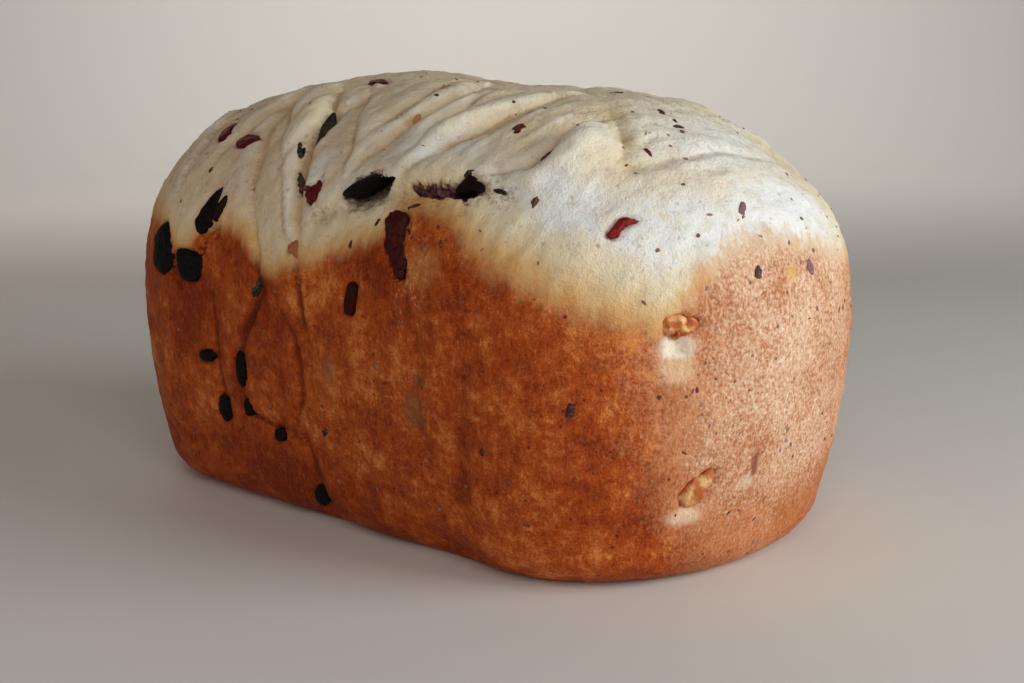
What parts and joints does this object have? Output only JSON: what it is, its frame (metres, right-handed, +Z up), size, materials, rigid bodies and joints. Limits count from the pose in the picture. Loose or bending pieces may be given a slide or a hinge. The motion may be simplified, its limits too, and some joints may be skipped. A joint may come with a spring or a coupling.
{
  "type": "fruit and nut loaf of bread",
  "caption": "Tall rounded bread loaf with a pale folded dome, a torn seam on one long side, and raisins, cranberries and walnut pieces showing in its crust.",
  "frame": {"origin": "middle of the flat base, at the bottom of the loaf", "axes": "+X along the loaf's length, +Y across it away from the long side with the torn seam, +Z up"},
  "size_m": [0.2006, 0.1257, 0.1112],
  "materials": {
    "crust": "dry baked crust, pale and floury over the dome, brown and slightly satin down the sides",
    "raisin": "wrinkled skin with a soft sheen",
    "cranberry": "wrinkled skin with a soft sheen",
    "walnut": "toasted, dull with a slightly oily sheen"
  },
  "bodies": {
    "root": {"loaf": "crust", "raisin_01": "raisin", "raisin_02": "raisin", "raisin_03": "raisin", "raisin_04": "raisin", "raisin_05": "raisin", "raisin_06": "raisin", "raisin_07": "raisin", "raisin_08": "raisin", "raisin_09": "raisin", "raisin_10": "raisin", "raisin_11": "raisin", "raisin_12": "raisin", "raisin_13": "raisin", "raisin_14": "raisin", "raisin_15": "raisin", "raisin_16": "raisin", "raisin_17": "raisin", "raisin_18": "raisin", "raisin_19": "raisin", "raisin_20": "raisin", "raisin_21": "raisin", "raisin_22": "raisin", "raisin_23": "raisin", "cranberry_01": "cranberry", "cranberry_02": "cranberry", "cranberry_03": "cranberry", "cranberry_04": "cranberry", "cranberry_05": "cranberry", "cranberry_06": "cranberry", "cranberry_07": "cranberry", "cranberry_08": "cranberry", "cranberry_09": "cranberry", "cranberry_10": "cranberry", "walnut_01": "walnut", "walnut_02": "walnut", "walnut_03": "walnut", "walnut_04": "walnut"}
  },
  "joints": []
}
